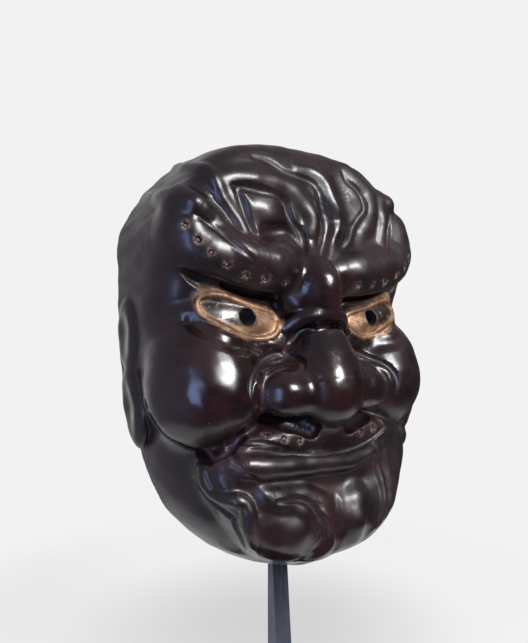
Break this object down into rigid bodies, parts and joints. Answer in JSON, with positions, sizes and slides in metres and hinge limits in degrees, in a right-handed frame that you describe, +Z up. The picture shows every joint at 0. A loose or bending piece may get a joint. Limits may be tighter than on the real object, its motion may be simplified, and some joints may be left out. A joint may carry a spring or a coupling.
{
  "type": "kagura mask on a display stand",
  "caption": "Carved, lacquered wooden demon mask with gilt eyes, frowning folded brow and balloon cheeks, hollow behind, held upright on a tapered steel bar with a square plate foot.",
  "frame": {"origin": "centre of the underside of the stand's square foot", "axes": "+Z up, the mask faces -Y, +X is to the right of someone who faces the mask"},
  "size_m": [0.1803, 0.13, 0.3496],
  "materials": {
    "lacquered_wood": "dark brown lacquer, glossy and worn, over carved wood, with worn gilding on the eyes",
    "blackened_bar": "satin blackened steel",
    "blackened_plate": "satin blackened steel"
  },
  "bodies": {
    "root": {"mask": "lacquered_wood", "stand_upright": "blackened_bar", "stand_foot": "blackened_plate"}
  },
  "joints": []
}
